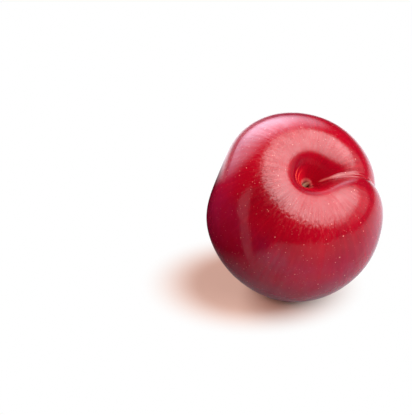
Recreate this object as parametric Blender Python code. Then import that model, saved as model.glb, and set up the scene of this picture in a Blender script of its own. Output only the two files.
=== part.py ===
"""A red plum lying on a small flat spot, its stem end tilted up and forward.

The fruit is one solid. It is shaped in the fruit's own frame, where +Z runs out of the stem
cavity, +X points to the suture and +Y to a cheek. It is then turned into the standing frame,
where +Z is up, -Y is the front and the origin is the middle of the flat spot.
"""

import math

import bmesh
import bpy
from mathutils import Matrix, Vector

MM = 0.001

# Body: a blunt ellipsoid that is widest across its two cheeks.
CHEEK_WIDTH = 58.5 * MM
SUTURE_WIDTH = 0.94 * CHEEK_WIDTH
FULL_CHEEK = 0.523 * CHEEK_WIDTH  # from the suture's plane to the bigger cheek
SMALL_CHEEK = CHEEK_WIDTH - FULL_CHEEK
STEM_HALF = 0.453 * CHEEK_WIDTH  # centre to where the stem end's top would be with no cavity
BLOSSOM_HALF = 0.525 * CHEEK_WIDTH
BLUNTNESS = 2.05  # 2 is a plain ellipsoid, more is squarer in the shoulder

# Back: a gentle flat where the fruit grew against its neighbour.
BACK_FLAT_DEPTH = 3.2 * MM
BACK_FLAT_TURN = math.radians(145)
BACK_FLAT_POLAR = math.radians(94)
BACK_FLAT_REACH = math.radians(27)

# Stem end: a broad sunken shoulder with a funnel in it. Both open wider towards the suture.
SHOULDER_DEPTH = 5.7 * MM
SHOULDER_RADIUS = 8.8 * MM
SHOULDER_POWER = 1.8
FUNNEL_DEPTH = 8.1 * MM
FUNNEL_RADIUS = 4.1 * MM
FUNNEL_POWER = 1.5
FUNNEL_FAR = 0.14  # how much narrower the funnel is across from the suture
FUNNEL_FULL = 0.16  # and towards the full cheek
CAVITY_SPREAD = 0.84  # how much wider both are along the suture
CAVITY_SIDE = 0.17  # and towards the small cheek
CAVITY_SMALL_REACH = math.radians(24)  # how far round it stays wide, towards the small cheek
CAVITY_FULL_REACH = math.radians(15)
CAVITY_CREASE_ROUNDING = math.radians(3)

# Stem scar: a low ring round a small socket at the bottom of the cavity.
SCAR_RADIUS = 1.7 * MM
SCAR_RING_HEIGHT = 0.35 * MM
SCAR_RING_WIDTH = 0.45 * MM
SCAR_SOCKET_DEPTH = 0.9 * MM

# Suture: a valley from the cavity to the blossom end, with a fuller cheek on one side.
SUTURE_LIP_DEPTH = 1.1 * MM
SUTURE_SIDE_DEPTH = 2.0 * MM
SUTURE_SMALL_WIDTH = 5.5 * MM  # on the small cheek's side of the crease
SUTURE_FULL_WIDTH = 3.4 * MM
SUTURE_ROUNDING = 0.5 * MM
SUTURE_LIP_ANGLE = math.radians(35)
SUTURE_LIP_REACH = math.radians(30)
SUTURE_BEND = math.radians(8)  # how far it strays towards the full cheek, most at the side
CHEEK_STEP = 0.3 * MM
CHEEK_STEP_WIDTH = 4.0 * MM
CHEEK_STEP_ANGLE = math.radians(50)

# Blossom end: a shallow dent with the point where the style was.
BLOSSOM_DENT_DEPTH = 0.8 * MM
BLOSSOM_DENT_RADIUS = 5.0 * MM
BLOSSOM_POINT_HEIGHT = 0.5 * MM
BLOSSOM_POINT_RADIUS = 1.0 * MM

# How the fruit lies.
STEM_LEAN = math.radians(38.5)  # stem axis from upright
STEM_HEADING = math.radians(-69.5)  # the way it leans, from +X
SUTURE_SPIN = math.radians(88.5)
FLAT_SINK = 0.8 * MM  # how far the flat spot is cut into the round

# Mesh: rings crowd towards the stem cavity, and segments towards the suture.
SEGMENTS = 72
RINGS = 48
RING_CROWDING = 1.6
SEGMENT_CROWDING = 0.5


def bell(distance, width):
    return math.exp(-((distance / width) ** 2))


def ease(low, high, value):
    """0 below low, 1 above high, smooth between."""
    share = min(1.0, max(0.0, (value - low) / (high - low)))
    return share * share * (3 - 2 * share)


def turn_from(turn, start):
    """The turn from one direction to another, the short way round."""
    return math.remainder(turn - start, 2 * math.pi)


def crease(across, small_reach, full_reach, rounding):
    """1 at the suture, and falling off in a rounded V towards the two cheeks."""
    reach = small_reach if across > 0 else full_reach
    return math.exp(-(math.hypot(across, rounding) - rounding) / reach)


def body_point(polar, turn):
    """The fruit with no cavity and no suture. polar is the angle from the stem end."""
    power = 2 / BLUNTNESS
    out = abs(math.sin(polar)) ** power
    up = abs(math.cos(polar)) ** power
    height = STEM_HALF * up if polar < math.pi / 2 else -BLOSSOM_HALF * up
    cheek = SMALL_CHEEK if math.sin(turn) > 0 else FULL_CHEEK
    return Vector((
        SUTURE_WIDTH / 2 * out * math.cos(turn),
        cheek * out * math.sin(turn),
        height,
    ))


def cavity_drop(radius, aside):
    near_suture = crease(aside, CAVITY_SMALL_REACH, CAVITY_FULL_REACH, CAVITY_CREASE_ROUNDING)
    wider = 1 + CAVITY_SPREAD * near_suture + CAVITY_SIDE * math.sin(aside)
    shoulder = SHOULDER_DEPTH * math.exp(-((radius / (SHOULDER_RADIUS * wider)) ** SHOULDER_POWER))
    wider -= FUNNEL_FAR * (1 - math.cos(aside)) / 2
    if aside < 0:
        wider -= FUNNEL_FULL * math.sin(aside) ** 2
    funnel = FUNNEL_DEPTH * math.exp(-((radius / (FUNNEL_RADIUS * wider)) ** FUNNEL_POWER))
    return shoulder + funnel


def scar_rise(radius):
    ring = SCAR_RING_HEIGHT * bell(radius - SCAR_RADIUS, SCAR_RING_WIDTH)
    socket = SCAR_SOCKET_DEPTH * (1 - ease(0.35 * SCAR_RADIUS, 0.95 * SCAR_RADIUS, radius))
    return ring - socket


def blossom_rise(radius):
    """Positive is outwards, away from the fruit's centre."""
    point = BLOSSOM_POINT_HEIGHT * bell(radius, BLOSSOM_POINT_RADIUS)
    return point - BLOSSOM_DENT_DEPTH * bell(radius, BLOSSOM_DENT_RADIUS)


def suture_depth(polar):
    """How deep the valley is at this angle from the stem end."""
    lip = bell(polar - SUTURE_LIP_ANGLE, SUTURE_LIP_REACH)
    depth = SUTURE_SIDE_DEPTH + (SUTURE_LIP_DEPTH - SUTURE_SIDE_DEPTH) * lip
    starts = ease(math.radians(8), math.radians(30), polar)
    ends = 1 - ease(math.radians(150), math.radians(176), polar)
    return depth * starts * ends


def suture_inset(polar, aside, radius):
    """How far the skin is pushed in by the suture, at a turn of aside from it."""
    faced = ease(0.0, 0.4, math.cos(aside))
    across = radius * math.sin(aside)
    valley = suture_depth(polar) * crease(
        across, SUTURE_SMALL_WIDTH, SUTURE_FULL_WIDTH, SUTURE_ROUNDING
    )
    step = CHEEK_STEP * math.tanh(across / CHEEK_STEP_WIDTH) * bell(aside, CHEEK_STEP_ANGLE)
    return faced * (valley + step * math.sin(polar) ** 3)


def back_inset(polar, turn):
    """The gentle flat on the back."""
    around = bell(turn_from(turn, BACK_FLAT_TURN), BACK_FLAT_REACH)
    return BACK_FLAT_DEPTH * around * bell(polar - BACK_FLAT_POLAR, BACK_FLAT_REACH)


def skin_point(polar, turn):
    """A point of the skin in the fruit's frame."""
    point = body_point(polar, turn)
    radius = math.hypot(point.x, point.y)
    aside = turn_from(turn, -SUTURE_BEND * math.sin(polar) ** 2)
    inset = suture_inset(polar, aside, radius) + back_inset(polar, turn)
    point -= point.normalized() * inset
    if polar < math.pi / 2:
        point.z += scar_rise(radius) - cavity_drop(radius, aside)
    else:
        point.z -= blossom_rise(radius)
    return point


def crowded(ring_angle, segment_angle):
    """The polar and turn angles of a vertex of an evenly divided sphere."""
    polar = math.pi * (ring_angle / math.pi) ** RING_CROWDING
    turn = segment_angle - SEGMENT_CROWDING * math.sin(segment_angle)
    return polar, turn


def fruit_mesh():
    made = bmesh.new()
    bmesh.ops.create_uvsphere(made, u_segments=SEGMENTS, v_segments=RINGS, radius=1)
    for vertex in made.verts:
        ring_angle = math.acos(max(-1.0, min(1.0, vertex.co.z)))
        segment_angle = math.atan2(vertex.co.y, vertex.co.x)
        vertex.co = skin_point(*crowded(ring_angle, segment_angle))
    mesh = bpy.data.meshes.new("plum")
    made.to_mesh(mesh)
    made.free()
    mesh.shade_smooth()
    return mesh


def lying_turn():
    """The rotation from the fruit's frame to the standing frame."""
    heading = Matrix.Rotation(STEM_HEADING, 4, "Z")
    lean = Matrix.Rotation(STEM_LEAN, 4, "Y")
    spin = Matrix.Rotation(SUTURE_SPIN, 4, "Z")
    return heading @ lean @ spin


def set_down(mesh):
    """Turns the mesh and puts the middle of what the floor will cut off over the origin."""
    mesh.transform(lying_turn())
    lowest = min(vertex.co.z for vertex in mesh.vertices)
    floor = lowest + FLAT_SINK
    below = [vertex.co for vertex in mesh.vertices if vertex.co.z < floor]
    middle = sum(below, Vector()) / len(below)
    mesh.transform(Matrix.Translation((-middle.x, -middle.y, -floor)))


def skin_material():
    skin = bpy.data.materials.new("skin")
    skin.use_nodes = True
    shader = skin.node_tree.nodes["Principled BSDF"]
    shader.inputs["Base Color"].default_value = (0.33, 0.006, 0.018, 1)
    shader.inputs["Roughness"].default_value = 0.3
    shader.inputs["Metallic"].default_value = 0.0
    return skin


def floor_cutter(collection):
    """A block whose top is the plane that the fruit rests on."""
    side = 2 * CHEEK_WIDTH
    bpy.ops.mesh.primitive_cube_add(size=side, location=(0, 0, -side / 2))
    block = bpy.context.object
    block.name = "floor_cutter"
    block.hide_render = True
    block.display_type = "WIRE"
    for holder in list(block.users_collection):
        holder.objects.unlink(block)
    collection.objects.link(block)
    return block


def new_collection(name):
    made = bpy.data.collections.new(name)
    bpy.context.scene.collection.children.link(made)
    return made


def main():
    for leftover in list(bpy.data.objects):
        bpy.data.objects.remove(leftover)
    mesh = fruit_mesh()
    set_down(mesh)
    mesh.materials.append(skin_material())
    plum = bpy.data.objects.new("plum", mesh)
    new_collection("plum").objects.link(plum)
    flat = plum.modifiers.new("flat_spot", "BOOLEAN")
    flat.operation = "DIFFERENCE"
    flat.object = floor_cutter(new_collection("cutters"))


main()
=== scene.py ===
"""A ripe red plum on a pale floor, in soft studio light.

The fruit has the shape of its CAD solid, worked out by the same formulas on a finer mesh, with
the details that the solid leaves out: the fold along the suture, the rim and the torn nub of the
stem scar, fine ridges and wrinkles in the cavity, and slight unevenness. Its skin is painted by
nodes in the fruit's own frame, where +Z runs out of the stem cavity, +X points to the suture and
+Y to the smaller cheek.
"""

import math

import bpy
import numpy as np
from mathutils import Matrix, Vector, noise

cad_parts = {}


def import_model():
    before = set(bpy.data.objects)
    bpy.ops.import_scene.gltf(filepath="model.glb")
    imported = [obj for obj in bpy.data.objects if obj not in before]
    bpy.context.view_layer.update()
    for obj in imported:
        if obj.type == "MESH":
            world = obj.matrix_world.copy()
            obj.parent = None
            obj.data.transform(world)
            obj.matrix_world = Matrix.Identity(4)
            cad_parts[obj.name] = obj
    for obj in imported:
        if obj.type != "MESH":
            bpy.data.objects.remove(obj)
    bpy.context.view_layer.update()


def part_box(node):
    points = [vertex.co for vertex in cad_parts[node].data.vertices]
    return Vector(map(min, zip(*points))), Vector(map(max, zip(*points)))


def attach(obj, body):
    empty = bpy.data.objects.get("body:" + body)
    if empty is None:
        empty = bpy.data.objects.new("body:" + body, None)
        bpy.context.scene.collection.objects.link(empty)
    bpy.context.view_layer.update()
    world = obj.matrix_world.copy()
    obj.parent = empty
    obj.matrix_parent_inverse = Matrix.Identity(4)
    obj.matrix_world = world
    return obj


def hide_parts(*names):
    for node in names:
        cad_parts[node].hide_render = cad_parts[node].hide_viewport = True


MM = 0.001

# Body, as in the CAD.
CHEEK_WIDTH = 58.5 * MM
SUTURE_WIDTH = 0.94 * CHEEK_WIDTH
FULL_CHEEK = 0.523 * CHEEK_WIDTH
SMALL_CHEEK = CHEEK_WIDTH - FULL_CHEEK
STEM_HALF = 0.453 * CHEEK_WIDTH
BLOSSOM_HALF = 0.525 * CHEEK_WIDTH
BLUNTNESS = 2.05
BACK_FLAT_DEPTH = 3.2 * MM
BACK_FLAT_TURN = math.radians(145)
BACK_FLAT_POLAR = math.radians(94)
BACK_FLAT_REACH = math.radians(27)

# Stem end, as in the CAD.
SHOULDER_DEPTH = 5.7 * MM
SHOULDER_RADIUS = 8.8 * MM
SHOULDER_POWER = 1.8
FUNNEL_DEPTH = 8.1 * MM
FUNNEL_RADIUS = 4.1 * MM
FUNNEL_POWER = 1.5
FUNNEL_FAR = 0.14
FUNNEL_FULL = 0.16
CAVITY_SPREAD = 0.84
CAVITY_SIDE = 0.17
CAVITY_SMALL_REACH = math.radians(24)
CAVITY_FULL_REACH = math.radians(15)
CAVITY_CREASE_ROUNDING = math.radians(3)
SCAR_RADIUS = 1.7 * MM
SCAR_RING_HEIGHT = 0.35 * MM
SCAR_RING_WIDTH = 0.45 * MM
SCAR_SOCKET_DEPTH = 0.9 * MM

# Suture, as in the CAD.
SUTURE_LIP_DEPTH = 1.1 * MM
SUTURE_SIDE_DEPTH = 2.0 * MM
SUTURE_SMALL_WIDTH = 5.5 * MM
SUTURE_FULL_WIDTH = 3.4 * MM
SUTURE_ROUNDING = 0.5 * MM
SUTURE_LIP_ANGLE = math.radians(35)
SUTURE_LIP_REACH = math.radians(30)
SUTURE_BEND = math.radians(8)
CHEEK_STEP = 0.3 * MM
CHEEK_STEP_WIDTH = 4.0 * MM
CHEEK_STEP_ANGLE = math.radians(50)

# Blossom end and lie, as in the CAD.
BLOSSOM_DENT_DEPTH = 0.8 * MM
BLOSSOM_DENT_RADIUS = 5.0 * MM
BLOSSOM_POINT_HEIGHT = 0.5 * MM
BLOSSOM_POINT_RADIUS = 1.0 * MM
STEM_LEAN = math.radians(38.5)
STEM_HEADING = math.radians(-69.5)
SUTURE_SPIN = math.radians(88.5)
FLAT_SINK = 0.8 * MM

# Fine mesh: rings crowd towards the stem cavity, and segments towards the suture.
SEGMENTS = 384
RINGS = 256
RING_CROWDING = 1.5
SEGMENT_CROWDING = 0.5

# Details that only the fine mesh has.
FOLD_STARTS = (math.radians(4.5), math.radians(9))
FOLD_ENDS = (math.radians(34), math.radians(54))
FOLD_RIDGE_HEIGHT = 0.38 * MM
FOLD_RIDGE_WIDTH = 0.45 * MM
FOLD_RIDGE_ASIDE = 0.10 * MM
FOLD_CREASE_DEPTH = 0.30 * MM
FOLD_CREASE_WIDTH = 0.40 * MM
FOLD_CREASE_ASIDE = -0.75 * MM
NUB_HEIGHT = 0.80 * MM
NUB_LENGTH = 1.05 * MM
NUB_THICKNESS = 0.50 * MM
NUB_OFFSET = 0.65 * MM
NUB_ASIDE = 0.35 * MM
ARC_HEIGHT = 0.10 * MM
ARC_SPACING = 1.25 * MM
ARC_RADIUS = 4.2 * MM
ARC_TURN = math.radians(165)
ARC_REACH = math.radians(50)
WRINKLE_HEIGHT = 0.035 * MM
WRINKLE_RADIUS = 7.0 * MM
WRINKLE_COUNT = 46
LUMP_HEIGHT = 0.16 * MM
LUMP_SIZE = 13.0 * MM

# Skin colours.
CRIMSON = (0.330, 0.0010, 0.0115, 1)
SCARLET = (0.450, 0.0030, 0.0140, 1)
WINE = (0.180, 0.0008, 0.0095, 1)
BLOOM = (0.240, 0.0200, 0.1300, 1)
PALE = (0.750, 0.2600, 0.2300, 1)
DOT = (0.800, 0.3000, 0.2600, 1)
# Painted light on the lit sides of the cavity wall's fine ridges.
ORANGE = (0.700, 0.0700, 0.0450, 1)
RIND = (0.520, 0.1700, 0.1500, 1)
# Painted shade in the scar's socket.
SOCKET_SHADE = (0.050, 0.0020, 0.0020, 1)
FIBRE = (0.640, 0.4200, 0.2700, 1)

# Skin pattern. A noise is its scale, its detail and its roughness, and a pair of levels is where a
# pattern starts to show and where it shows in full. Any other pair is where a layer comes in or
# fades: as a distance from the axis in mm in the names with FROM_AXIS, as the cosine of the turn
# from the suture in the names with SIDE, and else as a share of the way from stem to blossom end.
STEM_END = (0.20, 0.30)
PATCH_NOISE = (0.055, 3.0, 0.55)
PATCH_LEVELS = (0.35, 0.68)
PATCH_SHARE = 0.55
STRIPES = (22.0, 5.0)  # how fine the streaks are round the fruit, and along it
STREAK_NOISE = (1.0, 4.0, 0.6)
STREAK_LEVELS = (0.42, 0.72)
STREAK_SHARE = 0.35
WALL_SIDE = (-0.5, 0.3)
# Painted light: the cavity's wall across from the suture glows scarlet.
INSIDE_GLOW_FROM_AXIS = (3.5, 5.5)
INSIDE_GLOW_SHARE = 0.95
# Painted shade: the cavity's brink across from the suture is darkened to wine.
BRINK_SHADE_FROM_AXIS = (4.2, 5.4)
BRINK_SHADE_FADE_FROM_AXIS = (6.2, 8.0)
BRINK_SHADE_SHARE = 0.60
# Painted shade: the side across from the suture is darkened towards the blossom end.
PAINTED_SHADE_START = (0.34, 0.56)
PAINTED_SHADE_SIDE = (-0.1, 0.7)
PAINTED_SHADE_SHARE = 0.62
HAZE_NOISE = (0.10, 5.0, 0.65)
HAZE_LEVELS = (0.10, 0.75)
HAZE_START = (0.24, 0.36)
HAZE_SHARE = 0.22
SHORT_STRIPES = (30.0, 60.0)
# Short flecks on the shoulder. In colour they are partly the skin's own streaks and partly a
# painted highlight at the edge of the gloss.
FLECK_NOISE = (1.0, 2.0, 0.5)
FLECK_LEVELS = (0.50, 0.66)
FLECK_START = (0.10, 0.16)
FLECK_FADE = (0.17, 0.25)
FLECK_FADED = 0.10
FLECK_SIDE = (-0.3, 0.6)
FLECK_SIDE_FADED = 0.35
FLECK_SHARE = 0.09
FOLD_FADE = (0.07, 0.17)
FOLD_FADED = 0.25
# Painted highlight on the fold's ridge and painted shade in its crease.
RIDGE_HIGHLIGHT_LEVELS = (0.5, 1.0)
RIDGE_HIGHLIGHT_SHARE = 0.35
CREASE_SHADE_LEVELS = (0.3, 1.0)
CREASE_SHADE_SHARE = 0.50
# Painted light and shade on the fine ridges of the cavity's wall: orange on their lit sides, wine
# on their shaded ones.
LIT_ARC_LEVELS = (0.1, 0.8)
LIT_ARC_SHARE = 0.70
SHADED_ARC_LEVELS = (-0.8, -0.1)  # darkest at the first, and gone at the second
SHADED_ARC_SHARE = 0.60
RIM_FROM_AXIS = (1.5, 2.3)
RIM_SHARE = 0.55
# Painted shade in the scar's socket, near black.
SOCKET_FROM_AXIS = (0.9, 1.5)
SOCKET_SHADE_SHARE = 0.95
NUB_LEVELS = (0.25, 0.70)
NUB_SHARE = 0.90

# Pale dots. Each layer has its number of cells to a mm, the radius of its dots in cells, their
# strength, and a shift that sets it apart from the others.
DOT_LAYERS = (
    (0.36, 0.076, 0.85, 0.0),
    (0.60, 0.085, 0.75, 17.0),
    (0.95, 0.105, 0.45, 31.0),
)
DOT_CORE = 0.55  # how much of its radius is at full strength
DOT_FROM_AXIS = (6.0, 12.0)

# Skin surface. GLOSS, MOTTLE and ROUGHNESS are the ranges that the noises give.
SKIN_IOR = 1.4
LONG_NOISE = (1.6, 3.0, 0.6)
GLOSS_LEVELS = (0.35, 0.65)
GLOSS = (0.40, 0.62)
GLOSS_FROM_AXIS = (4.0, 10.5)
CAVITY_GLOSS = 0.25
MOTTLE_NOISE = (0.16, 3.0, 0.6)
MOTTLE_LEVELS = (0.35, 0.65)
MOTTLE = (0.84, 1.12)
ROUGH_LEVELS = (0.38, 0.62)
ROUGHNESS = (0.07, 0.14)
ROUGH_FROM_AXIS = (5.0, 9.0)
CAVITY_ROUGHNESS = 0.10
FINE_NOISE = (2.6, 4.0, 0.6)
FINE_BUMP = 0.005 * MM
STREAK_BUMP = 0.020 * MM
FLECK_BUMP = 0.150 * MM

# Camera, measured from the middle of the fruit's box.
VIEW_ELEVATION = math.radians(32)
VIEW_DISTANCE = 0.43
VIEW_ASIDE = -27.2 * MM
VIEW_ABOVE = -0.1 * MM
LENS_MM = 120.6
SENSOR_MM = 36.0

# Light. Each glow has a direction, its even and its whole reach round that, its radiance and its
# tint. Each panel has a place, a size, a power and a tint, and says if the skin reflects it.
ROOM_GLOW = 0.01
WHITE = (1.0, 1.0, 1.0)
COOL = (1.0, 0.95, 1.18)
GLOWS = (
    ((0.36, -0.24, 0.90), math.radians(10), math.radians(60), 4.0, WHITE),
    ((0.36, -0.24, 0.90), math.radians(40), math.radians(54), 4.0, WHITE),
    ((0.93, 0.08, 0.35), math.radians(2), math.radians(34), 1.1, WHITE),
    ((-0.46, 0.76, 0.46), math.radians(6), math.radians(38), 3.2, COOL),
    ((-0.10, 0.84, 0.53), math.radians(2), math.radians(36), 3.2, COOL),
)
PANELS = {
    "overhead": ((0.70, 0.05, 1.0), (1.8, 1.5), 23.5, WHITE, False),
    "side": ((1.0, -0.6, 0.5), (0.8, 0.8), 12.0, WHITE, False),
    "back": ((-0.8, 0.9, 0.7), (0.9, 0.9), 26.0, WHITE, False),
    "warm_fill": ((-0.60, -0.70, 0.80), (0.7, 0.5), 8.5, (1.0, 0.50, 0.42), False),
    "strip": ((-0.94, -0.34, 0.15), (0.26, 1.1), 0.85, (1.0, 0.62, 0.72), True),
}

# Floor, as the camera sees it: a matt patch that the shadow falls on, and white past that. The
# patch's brownish colour is painted shade, which deepens the shadow and makes it warm.
FLOOR_SIDE = 8.0
FLOOR_SHOWN = (0.58, 0.43, 0.36, 1)
SHADOW_MIDDLE = (-0.011, 0.000, 0.0)
SHADOW_STRETCH = (0.95, 1.22, 1.0)  # makes the round patch an oval one
SHADOW_REACH = (0.016, 0.035)

# Floor, as the skin reflects it. A shade is from 0 to 1. A place, a start or a reach is in metres,
# and a way is the direction that a reach is measured along.
FLOOR_BLUE = 1.10  # the blue part of each shade, against its red and green
FRONT_SHADE = 0.45
FRONT_DIMMED = 0.75 * FRONT_SHADE
FRONT_PLACE = (0.05, 0.0, 0.0)
FRONT_DIM_REACH = (0.0, 0.20)
FRONT_END_REACH = (0.28, 0.55)
LEFT_WAY = (1.0, -0.30, 0.0)
LEFT_REACH = (-0.045, -0.020)
# Painted shadow on the floor in front, left of the fruit, which the camera does not see.
DIM_PLACE = (-0.045, -0.005, 0.0)
DIM_REACH = (0.015, 0.060)
DIM_SHARE = 0.40
# Painted wedge of light on the floor in front and to the left, which the camera does not see.
WEDGE_SHADE = 0.25
WEDGE_WAY = (-0.92, -0.40, 0.0)
WEDGE_START = 0.018
WEDGE_REACH = (0.005, 0.02)
WEDGE_ACROSS = (0.40, -0.92, 0.0)
WEDGE_ASIDE = 0.0162
WEDGE_SLOPES = (0.10, 0.20)  # of its edges from its middle line
BACK_SHADE = 0.55
BACK_WAY = (0.6, 1.0, 0.0)
BACK_START = (0.045, 0.080)  # where the front's shade gives way to the back's
BACK_PLACE = (0.0, 0.0, 0.0)
BACK_REACH = (0.10, 0.32)
FAR_WAY = (1.0, 0.0, 0.0)
FAR_REACH = (-0.15, 0.02)
FAR_LEFT_SHADE = 0.40 * BACK_SHADE
FAR_RIGHT_SHADE = 0.08 * BACK_SHADE


# ---------------------------------------------------------------- shape


def bell(distance, width):
    return np.exp(-((distance / width) ** 2))


def ease(low, high, value):
    """0 below low, 1 above high, smooth between."""
    share = np.clip((value - low) / (high - low), 0.0, 1.0)
    return share * share * (3 - 2 * share)


def turn_from(turn, start):
    """The turn from one direction to another, the short way round."""
    return np.remainder(turn - start + math.pi, 2 * math.pi) - math.pi


def crease(across, small_reach, full_reach, rounding):
    """1 at the suture, and falling off in a rounded V towards the two cheeks."""
    reach = np.where(across > 0, small_reach, full_reach)
    return np.exp(-(np.hypot(across, rounding) - rounding) / reach)


def body_points(polar, turn):
    """The fruit with no cavity and no suture. polar is the angle from the stem end."""
    power = 2 / BLUNTNESS
    out = np.abs(np.sin(polar)) ** power
    up = np.abs(np.cos(polar)) ** power
    height = np.where(polar < math.pi / 2, STEM_HALF * up, -BLOSSOM_HALF * up)
    cheek = np.where(np.sin(turn) > 0, SMALL_CHEEK, FULL_CHEEK)
    across = SUTURE_WIDTH / 2 * out * np.cos(turn)
    return np.stack([across, cheek * out * np.sin(turn), height], axis=-1)


def cavity_drop(radius, aside):
    """How deep the cavity is at this distance from the axis and turn from the suture."""
    near_suture = crease(aside, CAVITY_SMALL_REACH, CAVITY_FULL_REACH, CAVITY_CREASE_ROUNDING)
    wider = 1 + CAVITY_SPREAD * near_suture + CAVITY_SIDE * np.sin(aside)
    shoulder = SHOULDER_DEPTH * np.exp(-((radius / (SHOULDER_RADIUS * wider)) ** SHOULDER_POWER))
    wider -= FUNNEL_FAR * (1 - np.cos(aside)) / 2
    wider -= FUNNEL_FULL * np.where(aside < 0, np.sin(aside) ** 2, 0.0)
    funnel = FUNNEL_DEPTH * np.exp(-((radius / (FUNNEL_RADIUS * wider)) ** FUNNEL_POWER))
    return shoulder + funnel


def scar_rise(radius):
    """A low ring round a small socket at the bottom of the cavity."""
    ring = SCAR_RING_HEIGHT * bell(radius - SCAR_RADIUS, SCAR_RING_WIDTH)
    socket = SCAR_SOCKET_DEPTH * (1 - ease(0.35 * SCAR_RADIUS, 0.95 * SCAR_RADIUS, radius))
    return ring - socket


def blossom_rise(radius):
    """Positive is outwards, away from the fruit's centre."""
    point = BLOSSOM_POINT_HEIGHT * bell(radius, BLOSSOM_POINT_RADIUS)
    return point - BLOSSOM_DENT_DEPTH * bell(radius, BLOSSOM_DENT_RADIUS)


def facing(aside):
    """1 on the suture's side of the fruit and 0 on the other."""
    return ease(0.0, 0.4, np.cos(aside))


def suture_depth(polar):
    """How deep the valley is at this angle from the stem end."""
    lip = bell(polar - SUTURE_LIP_ANGLE, SUTURE_LIP_REACH)
    depth = SUTURE_SIDE_DEPTH + (SUTURE_LIP_DEPTH - SUTURE_SIDE_DEPTH) * lip
    starts = ease(math.radians(8), math.radians(30), polar)
    ends = 1 - ease(math.radians(150), math.radians(176), polar)
    return depth * (starts * ends)


def suture_inset(polar, aside, across):
    """How far the skin is pushed in by the suture."""
    valley = suture_depth(polar) * crease(
        across, SUTURE_SMALL_WIDTH, SUTURE_FULL_WIDTH, SUTURE_ROUNDING
    )
    step = CHEEK_STEP * np.tanh(across / CHEEK_STEP_WIDTH) * bell(aside, CHEEK_STEP_ANGLE)
    return facing(aside) * (valley + step * np.sin(polar) ** 3)


def back_inset(polar, turn):
    """The gentle flat on the back."""
    around = bell(turn_from(turn, BACK_FLAT_TURN), BACK_FLAT_REACH)
    return BACK_FLAT_DEPTH * around * bell(polar - BACK_FLAT_POLAR, BACK_FLAT_REACH)


def fold_share(polar, aside):
    """1 where the suture has its fine fold, from near the scar to where it fades on the side."""
    return facing(aside) * ease(*FOLD_STARTS, polar) * (1 - ease(*FOLD_ENDS, polar))


def fold_ridge(polar, aside, across):
    """1 along the fine ridge in the suture."""
    return bell(across - FOLD_RIDGE_ASIDE, FOLD_RIDGE_WIDTH) * fold_share(polar, aside)


def fold_crease(polar, aside, across):
    """1 along the thin crease on the full cheek's side of the ridge."""
    return bell(across - FOLD_CREASE_ASIDE, FOLD_CREASE_WIDTH) * fold_share(polar, aside)


def nub_share(radius, turn):
    """1 on the torn end of the stalk's fibres, which stands up in the scar's socket."""
    across = (radius * np.cos(turn) - NUB_ASIDE) / NUB_LENGTH
    along = (radius * np.sin(turn) - NUB_OFFSET) / NUB_THICKNESS
    return np.exp(-(np.hypot(across, along) ** 2))


def arc_waves(radius, turn):
    """Fine ridges round the scar, on the cavity's wall across from the suture. -1 to 1."""
    waves = np.cos(2 * math.pi * radius / ARC_SPACING + 1.2 * np.sin(3 * turn))
    faced = bell(turn_from(turn, ARC_TURN), ARC_REACH)
    return waves * faced * bell(radius - ARC_RADIUS, 0.4 * ARC_RADIUS)


def wrinkle_rise(radius, turn):
    """Fine wrinkles that run down the cavity's wall, uneven in height and width."""
    uneven = turn + 0.05 * np.sin(5 * turn + 1.3) + 0.03 * np.sin(11 * turn)
    waves = np.sin(WRINKLE_COUNT * uneven) * (0.6 + 0.4 * np.sin(7 * turn + 0.5))
    return WRINKLE_HEIGHT * waves * bell(radius - 0.6 * WRINKLE_RADIUS, 0.4 * WRINKLE_RADIUS)


def lump_rises(directions):
    """Slight unevenness of the whole surface, one value for each direction."""
    scale = CHEEK_WIDTH / 2 / LUMP_SIZE
    return np.array([LUMP_HEIGHT * noise.noise(Vector(way) * scale) for way in directions])


def suture_places(points, polar, turn):
    """Each point's distance from the axis, its turn from the suture and its way across it."""
    radius = np.hypot(points[:, 0], points[:, 1])
    aside = turn_from(turn, -SUTURE_BEND * np.sin(polar) ** 2)
    return radius, aside, radius * np.sin(aside)


def skin_points(polar, turn):
    """Points of the skin in the fruit's frame."""
    points = body_points(polar, turn)
    outward = points / np.linalg.norm(points, axis=1)[:, None]
    radius, aside, across = suture_places(points, polar, turn)
    inset = suture_inset(polar, aside, across) + back_inset(polar, turn)
    ridge = FOLD_RIDGE_HEIGHT * fold_ridge(polar, aside, across)
    line = FOLD_CREASE_DEPTH * fold_crease(polar, aside, across)
    rise = ridge - line + lump_rises(outward) - inset
    points += outward * rise[:, None]
    top = scar_rise(radius) - cavity_drop(radius, aside) + wrinkle_rise(radius, turn)
    top += NUB_HEIGHT * nub_share(radius, turn)
    top += ARC_HEIGHT * arc_waves(radius, turn)
    points[:, 2] += np.where(polar < math.pi / 2, top, -blossom_rise(radius))
    return points


def lying_turn():
    """The rotation from the fruit's frame to the standing frame."""
    heading = Matrix.Rotation(STEM_HEADING, 3, "Z")
    lean = Matrix.Rotation(STEM_LEAN, 3, "Y")
    spin = Matrix.Rotation(SUTURE_SPIN, 3, "Z")
    return np.array(heading @ lean @ spin)


def set_down(points, cad_low, cad_high):
    """Turns the points, puts them where the CAD solid lies and presses the flat spot flat."""
    turned = points @ lying_turn().T
    middle = (turned.min(axis=0) + turned.max(axis=0)) / 2
    cad_middle = (np.array(cad_low) + np.array(cad_high)) / 2
    placed = turned - middle + cad_middle
    placed[:, 2] = turned[:, 2] - turned[:, 2].min() - FLAT_SINK
    placed[:, 2] = np.maximum(placed[:, 2], 0.0)
    return placed


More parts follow.
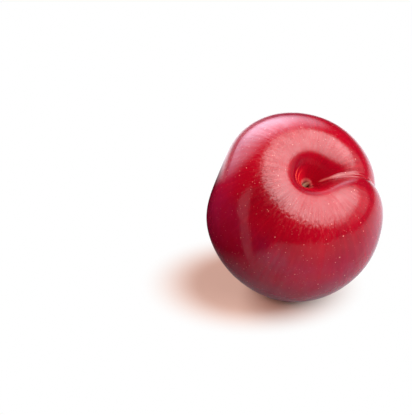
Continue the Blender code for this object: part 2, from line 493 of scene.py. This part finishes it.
def grid_sphere():
    """The rings' and segments' angles of each vertex, and the faces, of a crowded sphere."""
    rings = math.pi * (np.arange(1, RINGS) / RINGS) ** RING_CROWDING
    segments = 2 * math.pi * np.arange(SEGMENTS) / SEGMENTS - math.pi
    segments = segments - SEGMENT_CROWDING * np.sin(segments)
    polar, turn = np.meshgrid(rings, segments, indexing="ij")
    polar = np.concatenate([[0.0], polar.ravel(), [math.pi]])
    turn = np.concatenate([[0.0], turn.ravel(), [0.0]])
    faces = []
    for ring in range(RINGS - 2):
        for segment in range(SEGMENTS):
            here = 1 + ring * SEGMENTS + segment
            beside = 1 + ring * SEGMENTS + (segment + 1) % SEGMENTS
            faces.append((here, here + SEGMENTS, beside + SEGMENTS, beside))
    last_ring = 1 + (RINGS - 2) * SEGMENTS
    last_vertex = len(polar) - 1
    for segment in range(SEGMENTS):
        beside = (segment + 1) % SEGMENTS
        faces.append((0, 1 + segment, 1 + beside))
        faces.append((last_vertex, last_ring + beside, last_ring + segment))
    return polar, turn, faces


def skin_fields(points, polar, turn):
    """What the skin is painted by: one number for each vertex, by name."""
    radius, aside, across = suture_places(points, polar, turn)
    stem_side = polar < math.pi / 2
    return {
        "polar": polar / math.pi,
        "round_x": np.cos(turn),
        "round_y": np.sin(turn),
        "from_axis": radius / MM,
        "ridge": fold_ridge(polar, aside, across),
        "crease": fold_crease(polar, aside, across),
        "arcs": np.where(stem_side, arc_waves(radius, turn), 0.0),
        "nub": np.where(stem_side, nub_share(radius, turn), 0.0),
    }


def plum_piece(cad_low, cad_high):
    """The plum's mesh, which keeps each vertex's place in the fruit's own frame for its skin."""
    polar, turn, faces = grid_sphere()
    points = skin_points(polar, turn)
    placed = set_down(points, cad_low, cad_high)
    mesh = bpy.data.meshes.new("plum_skin")
    mesh.from_pydata([tuple(point) for point in placed], [], faces)
    mesh.shade_smooth()
    places = mesh.attributes.new("fruit", "FLOAT_VECTOR", "POINT")
    places.data.foreach_set("vector", (points / MM).astype(np.float32).ravel())
    for name, values in skin_fields(points, polar, turn).items():
        field = mesh.attributes.new(name, "FLOAT", "POINT")
        field.data.foreach_set("value", values.astype(np.float32))
    piece = bpy.data.objects.new("plum_skin", mesh)
    bpy.context.scene.collection.objects.link(piece)
    return piece


# ---------------------------------------------------------------- materials


class Nodes:
    """Short calls for building a material's or a world's node tree."""

    def __init__(self, tree):
        self.tree = tree

    def make(self, kind, **settings):
        node = self.tree.nodes.new(kind)
        for name, value in settings.items():
            setattr(node, name, value)
        return node

    def feed(self, socket, value):
        if isinstance(value, bpy.types.NodeSocket):
            self.tree.links.new(value, socket)
        else:
            socket.default_value = value

    def attribute(self, name, output="Fac"):
        return self.make("ShaderNodeAttribute", attribute_name=name).outputs[output]

    def math(self, operation, first, second=0.0):
        node = self.make("ShaderNodeMath", operation=operation)
        self.feed(node.inputs[0], first)
        self.feed(node.inputs[1], second)
        return node.outputs["Value"]

    def times(self, first, *others):
        """The product of all the values."""
        for other in others:
            first = self.math("MULTIPLY", first, other)
        return first

    def vector_math(self, operation, first, second, output="Vector"):
        node = self.make("ShaderNodeVectorMath", operation=operation)
        self.feed(node.inputs[0], first)
        self.feed(node.inputs[1], second)
        return node.outputs[output]

    def along(self, place, way):
        """How far along a way a place is."""
        return self.vector_math("DOT_PRODUCT", place, way, "Value")

    def distance(self, first, second):
        return self.vector_math("DISTANCE", first, second, "Value")

    def vector(self, x, y, z):
        node = self.make("ShaderNodeCombineXYZ")
        for socket, value in zip(node.inputs, (x, y, z)):
            self.feed(socket, value)
        return node.outputs["Vector"]

    def ramp(self, value, low, high, to_low=0.0, to_high=1.0):
        """Eases from to_low to to_high as value goes from low to high."""
        node = self.make("ShaderNodeMapRange", interpolation_type="SMOOTHSTEP")
        for name, number in zip(
            ("Value", "From Min", "From Max", "To Min", "To Max"),
            (value, low, high, to_low, to_high),
        ):
            self.feed(node.inputs[name], number)
        return node.outputs["Result"]

    def fade(self, value, low, high, full=1.0):
        """Eases from full to 0 as value goes from low to high."""
        return self.ramp(value, low, high, full, 0.0)

    def noise(self, place, scale, detail, roughness):
        node = self.make("ShaderNodeTexNoise")
        self.feed(node.inputs["Vector"], place)
        node.inputs["Scale"].default_value = scale
        node.inputs["Detail"].default_value = detail
        node.inputs["Roughness"].default_value = roughness
        return node.outputs["Fac"]

    def cells(self, place, scale):
        """The distance to the middle of the nearest of many scattered cells."""
        node = self.make("ShaderNodeTexVoronoi")
        self.feed(node.inputs["Vector"], place)
        node.inputs["Scale"].default_value = scale
        return node.outputs["Distance"]

    def blend(self, share, first, second, mode="MIX"):
        node = self.make("ShaderNodeMix", data_type="RGBA", blend_type=mode)
        self.feed(node.inputs["Factor"], share)
        self.feed(node.inputs[6], first)
        self.feed(node.inputs[7], second)
        return node.outputs[2]

    def bump(self, height, distance, under=None):
        node = self.make("ShaderNodeBump")
        self.feed(node.inputs["Height"], height)
        node.inputs["Distance"].default_value = distance
        node.inputs["Strength"].default_value = 1.0
        if under is not None:
            self.feed(node.inputs["Normal"], under)
        return node.outputs["Normal"]


class SkinNodes(Nodes):
    """The skin's nodes, with what they read from the fruit's mesh."""

    def __init__(self, tree):
        super().__init__(tree)
        self.place = self.attribute("fruit", "Vector")
        self.polar = self.attribute("polar")
        self.round_x = self.attribute("round_x")
        self.round_y = self.attribute("round_y")
        self.from_axis = self.attribute("from_axis")
        self.stem_end = self.fade(self.polar, *STEM_END)

    def stripes(self, around, down):
        """Places whose noise comes in streaks that run from the stem to the blossom end."""
        return self.vector(
            self.times(self.round_x, around),
            self.times(self.round_y, around),
            self.times(self.polar, down),
        )


def ground_colour(skin, stripes):
    """Crimson, with broad wine patches and fine scarlet streaks."""
    patches = skin.ramp(skin.noise(skin.place, *PATCH_NOISE), *PATCH_LEVELS)
    colour = skin.blend(skin.times(patches, PATCH_SHARE), CRIMSON, WINE)
    streaks = skin.ramp(skin.noise(stripes, *STREAK_NOISE), *STREAK_LEVELS)
    return skin.blend(skin.times(streaks, STREAK_SHARE), colour, SCARLET)


def cavity_layers(skin, colour):
    """Painted light and shade across from the suture: a scarlet glow on the cavity's lit wall, and
    painted shade on the brink round it.
    """
    wall = skin.times(skin.fade(skin.round_x, *WALL_SIDE), skin.stem_end)
    # Painted light: a scarlet glow on the cavity's lit wall.
    inside_glow = skin.times(wall, skin.fade(skin.from_axis, *INSIDE_GLOW_FROM_AXIS, INSIDE_GLOW_SHARE))
    colour = skin.blend(inside_glow, colour, SCARLET)
    # Painted shade on the brink round the cavity.
    brink_shade = skin.times(
        wall,
        skin.ramp(skin.from_axis, *BRINK_SHADE_FROM_AXIS),
        skin.fade(skin.from_axis, *BRINK_SHADE_FADE_FROM_AXIS, BRINK_SHADE_SHARE),
    )
    return skin.blend(brink_shade, colour, WINE)


def side_layers(skin, colour):
    """Painted shade, which darkens the side across from the suture towards the blossom end, and a
    thin bloom that starts on the shoulder.
    """
    # Painted shade on the side across from the suture, towards the blossom end.
    painted_shade = skin.times(
        skin.ramp(skin.polar, *PAINTED_SHADE_START, 0.0, PAINTED_SHADE_SHARE),
        skin.fade(skin.round_x, *PAINTED_SHADE_SIDE),
    )
    colour = skin.blend(painted_shade, colour, WINE)
    haze = skin.times(
        skin.ramp(skin.noise(skin.place, *HAZE_NOISE), *HAZE_LEVELS),
        skin.ramp(skin.polar, *HAZE_START),
        HAZE_SHARE,
    )
    return skin.blend(haze, colour, BLOOM)


def fleck_strength(skin):
    """1 on the shoulder across from the suture, where the short flecks are strongest."""
    return skin.times(
        skin.ramp(skin.polar, *FLECK_START),
        skin.ramp(skin.polar, *FLECK_FADE, 1.0, FLECK_FADED),
        skin.ramp(skin.round_x, *FLECK_SIDE, 1.0, FLECK_SIDE_FADED),
    )


def dot_layer(skin, colour):
    """Pale dots of three sizes, with none in the cavity."""
    dots = 0.0
    for scale, size, share, shift in DOT_LAYERS:
        moved = skin.vector_math("ADD", skin.place, (shift, shift, shift))
        near = skin.cells(moved, scale)
        dots = skin.math("MAXIMUM", dots, skin.fade(near, DOT_CORE * size, size, share))
    dots = skin.times(dots, skin.ramp(skin.from_axis, *DOT_FROM_AXIS))
    return skin.blend(dots, colour, DOT)


def fold_layers(skin, colour):
    """A painted highlight on the fold's ridge and painted shade in its crease, strongest near the
    scar.
    """
    near_scar = skin.ramp(skin.polar, *FOLD_FADE, 1.0, FOLD_FADED)
    # Painted highlight on the ridge.
    ridge = skin.ramp(skin.attribute("ridge"), *RIDGE_HIGHLIGHT_LEVELS, 0.0, RIDGE_HIGHLIGHT_SHARE)
    colour = skin.blend(skin.times(ridge, near_scar), colour, PALE)
    # Painted shade in the crease.
    dark = skin.ramp(skin.attribute("crease"), *CREASE_SHADE_LEVELS, 0.0, CREASE_SHADE_SHARE)
    return skin.blend(skin.times(dark, near_scar), colour, WINE)


def scar_layers(skin, colour):
    """Painted light and shade on the fine ridges of the cavity's wall, then the scar's rim,
    painted shade in its socket, and its nub.
    """
    arcs = skin.attribute("arcs")
    # Painted light and shade on the wall's fine ridges.
    colour = skin.blend(skin.ramp(arcs, *LIT_ARC_LEVELS, 0.0, LIT_ARC_SHARE), colour, ORANGE)
    colour = skin.blend(skin.fade(arcs, *SHADED_ARC_LEVELS, SHADED_ARC_SHARE), colour, WINE)
    rim = skin.times(skin.fade(skin.from_axis, *RIM_FROM_AXIS, RIM_SHARE), skin.stem_end)
    colour = skin.blend(rim, colour, RIND)
    # Painted shade in the socket.
    socket = skin.times(skin.fade(skin.from_axis, *SOCKET_FROM_AXIS, SOCKET_SHADE_SHARE), skin.stem_end)
    colour = skin.blend(socket, colour, SOCKET_SHADE)
    nub = skin.ramp(skin.attribute("nub"), *NUB_LEVELS, 0.0, NUB_SHARE)
    return skin.blend(nub, colour, FIBRE)


def skin_gloss(skin, streaks):
    """Streaked and mottled gloss, which fades into the cavity."""
    return skin.times(
        skin.ramp(streaks, *GLOSS_LEVELS, *GLOSS),
        skin.ramp(skin.from_axis, *GLOSS_FROM_AXIS, CAVITY_GLOSS, 1.0),
        skin.ramp(skin.noise(skin.place, *MOTTLE_NOISE), *MOTTLE_LEVELS, *MOTTLE),
    )


def skin_roughness(skin, streaks):
    """Streaked, and rougher in the cavity."""
    cavity = skin.fade(skin.from_axis, *ROUGH_FROM_AXIS, CAVITY_ROUGHNESS)
    return skin.math("ADD", skin.ramp(streaks, *ROUGH_LEVELS, *ROUGHNESS), cavity)


def fresh_material(name):
    """A new material and the shader that it starts with."""
    made = bpy.data.materials.new(name)
    made.use_nodes = True
    return made, made.node_tree.nodes["Principled BSDF"]


def skin_material():
    """Crimson skin: mottled and streaked, with pale dots, a thin bloom, a brown stem scar, and
    painted light and shade in the cavity, on the fold and across from the suture.
    """
    made, shader = fresh_material("plum_skin")
    skin = SkinNodes(made.node_tree)
    stripes = skin.stripes(*STRIPES)
    streaks = skin.noise(stripes, *LONG_NOISE)
    flecks = skin.noise(skin.stripes(*SHORT_STRIPES), *FLECK_NOISE)
    strength = fleck_strength(skin)

    colour = ground_colour(skin, stripes)
    colour = cavity_layers(skin, colour)
    colour = side_layers(skin, colour)
    # Pale flecks: partly the skin's own short streaks, partly a painted highlight that feathers
    # the gloss's edge on the shoulder.
    flecks_and_painted_sheen = skin.times(skin.ramp(flecks, *FLECK_LEVELS), strength, FLECK_SHARE)
    colour = skin.blend(flecks_and_painted_sheen, colour, PALE)
    colour = dot_layer(skin, colour)
    colour = fold_layers(skin, colour)
    colour = scar_layers(skin, colour)

    normal = skin.bump(skin.noise(skin.place, *FINE_NOISE), FINE_BUMP)
    normal = skin.bump(streaks, STREAK_BUMP, under=normal)
    normal = skin.bump(skin.times(flecks, strength), FLECK_BUMP, under=normal)

    skin.feed(shader.inputs["Base Color"], colour)
    skin.feed(shader.inputs["Specular IOR Level"], skin_gloss(skin, streaks))
    skin.feed(shader.inputs["Roughness"], skin_roughness(skin, streaks))
    skin.feed(shader.inputs["Normal"], normal)
    shader.inputs["IOR"].default_value = SKIN_IOR
    return made


def front_shade(nodes, spot):
    """The floor in front, with painted light and shade that the camera does not see. It dims with
    distance and towards the left, with a painted shadow left of the fruit and a painted wedge of
    light.
    """
    away = nodes.distance(spot, FRONT_PLACE)
    front = nodes.times(
        nodes.ramp(away, *FRONT_DIM_REACH, FRONT_SHADE, FRONT_DIMMED),
        nodes.fade(away, *FRONT_END_REACH),
        nodes.ramp(nodes.along(spot, LEFT_WAY), *LEFT_REACH),
        nodes.ramp(nodes.distance(spot, DIM_PLACE), *DIM_REACH, DIM_SHARE, 1.0),
    )
    along = nodes.math("SUBTRACT", nodes.along(spot, WEDGE_WAY), WEDGE_START)
    aside = nodes.math("SUBTRACT", nodes.along(spot, WEDGE_ACROSS), WEDGE_ASIDE)
    slope = nodes.math("ABSOLUTE", nodes.math("DIVIDE", aside, along))
    wedge = nodes.times(
        nodes.fade(slope, *WEDGE_SLOPES, WEDGE_SHADE),
        nodes.ramp(along, *WEDGE_REACH),
    )
    return nodes.math("MAXIMUM", front, wedge)


def back_shade(nodes, spot):
    """The floor behind. It dims with distance, most on the right."""
    sideways = nodes.along(spot, FAR_WAY)
    far = nodes.ramp(sideways, *FAR_REACH, FAR_LEFT_SHADE, FAR_RIGHT_SHADE)
    return nodes.ramp(nodes.distance(spot, BACK_PLACE), *BACK_REACH, BACK_SHADE, far)


def floor_material():
    """A matt floor. The camera sees a pale brownish patch where the shadow is, painted shade that
    deepens and warms it, and white past that, and the fruit's skin reflects it dimmer, with a lit
    part in front and another behind."""
    made, shader = fresh_material("pale_floor")
    made.node_tree.nodes.remove(shader)
    nodes = Nodes(made.node_tree)
    spot = nodes.make("ShaderNodeTexCoord").outputs["Object"]
    backwards = nodes.along(spot, BACK_WAY)
    front = front_shade(nodes, spot)
    back = back_shade(nodes, spot)
    shade = nodes.ramp(backwards, *BACK_START, front, back)
    reflected = nodes.vector(shade, shade, nodes.times(shade, FLOOR_BLUE))
    to_camera = nodes.make("ShaderNodeLightPath").outputs["Is Camera Ray"]
    matt = nodes.make("ShaderNodeBsdfDiffuse")
    nodes.feed(matt.inputs["Color"], nodes.blend(to_camera, reflected, FLOOR_SHOWN))
    white = nodes.make("ShaderNodeEmission")
    # Painted shade: the camera sees the brownish patch round the shadow, and white past it.
    stretched = nodes.vector_math("MULTIPLY", spot, SHADOW_STRETCH)
    past_shadow = nodes.ramp(nodes.distance(stretched, SHADOW_MIDDLE), *SHADOW_REACH)
    mixed = nodes.make("ShaderNodeMixShader")
    nodes.feed(mixed.inputs["Fac"], nodes.times(past_shadow, to_camera))
    nodes.feed(mixed.inputs[1], matt.outputs["BSDF"])
    nodes.feed(mixed.inputs[2], white.outputs["Emission"])
    surface = made.node_tree.nodes["Material Output"].inputs["Surface"]
    nodes.feed(surface, mixed.outputs["Shader"])
    return made


# ---------------------------------------------------------------- stage


def floor_piece():
    bpy.ops.mesh.primitive_plane_add(size=FLOOR_SIDE)
    floor = bpy.context.object
    floor.name = "floor"
    floor.data.materials.append(floor_material())
    return floor


def soft_panel(name, middle, size, power, tint, reflected):
    """An oval soft panel aimed at the fruit. One that is reflected does nothing else, and the
    others only light what is matt."""
    lamp = bpy.data.lights.new(name, "AREA")
    lamp.shape = "ELLIPSE"
    lamp.size, lamp.size_y = size
    lamp.energy = power
    lamp.color = tint
    panel = bpy.data.objects.new(name, lamp)
    panel.location = middle
    panel.rotation_euler = Vector(middle).to_track_quat("Z", "Y").to_euler()
    panel.visible_camera = False
    panel.visible_glossy = reflected
    panel.visible_diffuse = not reflected
    bpy.context.scene.collection.objects.link(panel)


def studio_world():
    """White to the camera. The skin reflects soft glows in it: a broad one overhead, a dim one
    on the right and a lit backdrop."""
    world = bpy.data.worlds.new("studio")
    bpy.context.scene.world = world
    world.use_nodes = True
    world.cycles_visibility.diffuse = False
    nodes = Nodes(world.node_tree)
    way = nodes.make("ShaderNodeTexCoord").outputs["Generated"]
    total = (ROOM_GLOW, ROOM_GLOW, ROOM_GLOW, 1)
    for towards, even, whole, radiance, tint in GLOWS:
        nearness = nodes.along(way, Vector(towards).normalized())
        share = nodes.ramp(nearness, math.cos(whole), math.cos(even))
        full = (*[radiance * part for part in tint], 1)
        total = nodes.blend(share, total, full, "ADD")
    to_camera = nodes.make("ShaderNodeLightPath").outputs["Is Camera Ray"]
    shown = nodes.blend(to_camera, total, (*WHITE, 1))
    nodes.feed(world.node_tree.nodes["Background"].inputs["Color"], shown)


def camera(middle):
    lens = bpy.data.cameras.new("camera")
    lens.lens = LENS_MM
    lens.sensor_width = SENSOR_MM
    lens.clip_start = 0.01
    view = bpy.data.objects.new("camera", lens)
    bpy.context.scene.collection.objects.link(view)
    up = Vector((0, math.sin(VIEW_ELEVATION), math.cos(VIEW_ELEVATION)))
    back = Vector((0, -math.cos(VIEW_ELEVATION), math.sin(VIEW_ELEVATION)))
    target = middle + Vector((VIEW_ASIDE, 0, 0)) + up * VIEW_ABOVE
    view.location = target + back * VIEW_DISTANCE
    view.rotation_euler = (math.pi / 2 - VIEW_ELEVATION, 0, 0)
    bpy.context.scene.camera = view


def main():
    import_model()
    box_low, box_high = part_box("plum")

    plum = plum_piece(box_low, box_high)
    plum.data.materials.append(skin_material())
    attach(plum, "root")
    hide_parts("plum")

    floor_piece()
    studio_world()
    for name, panel in PANELS.items():
        soft_panel(name, *panel)
    camera((box_low + box_high) / 2)
    bpy.context.scene.view_settings.view_transform = "Standard"


main()
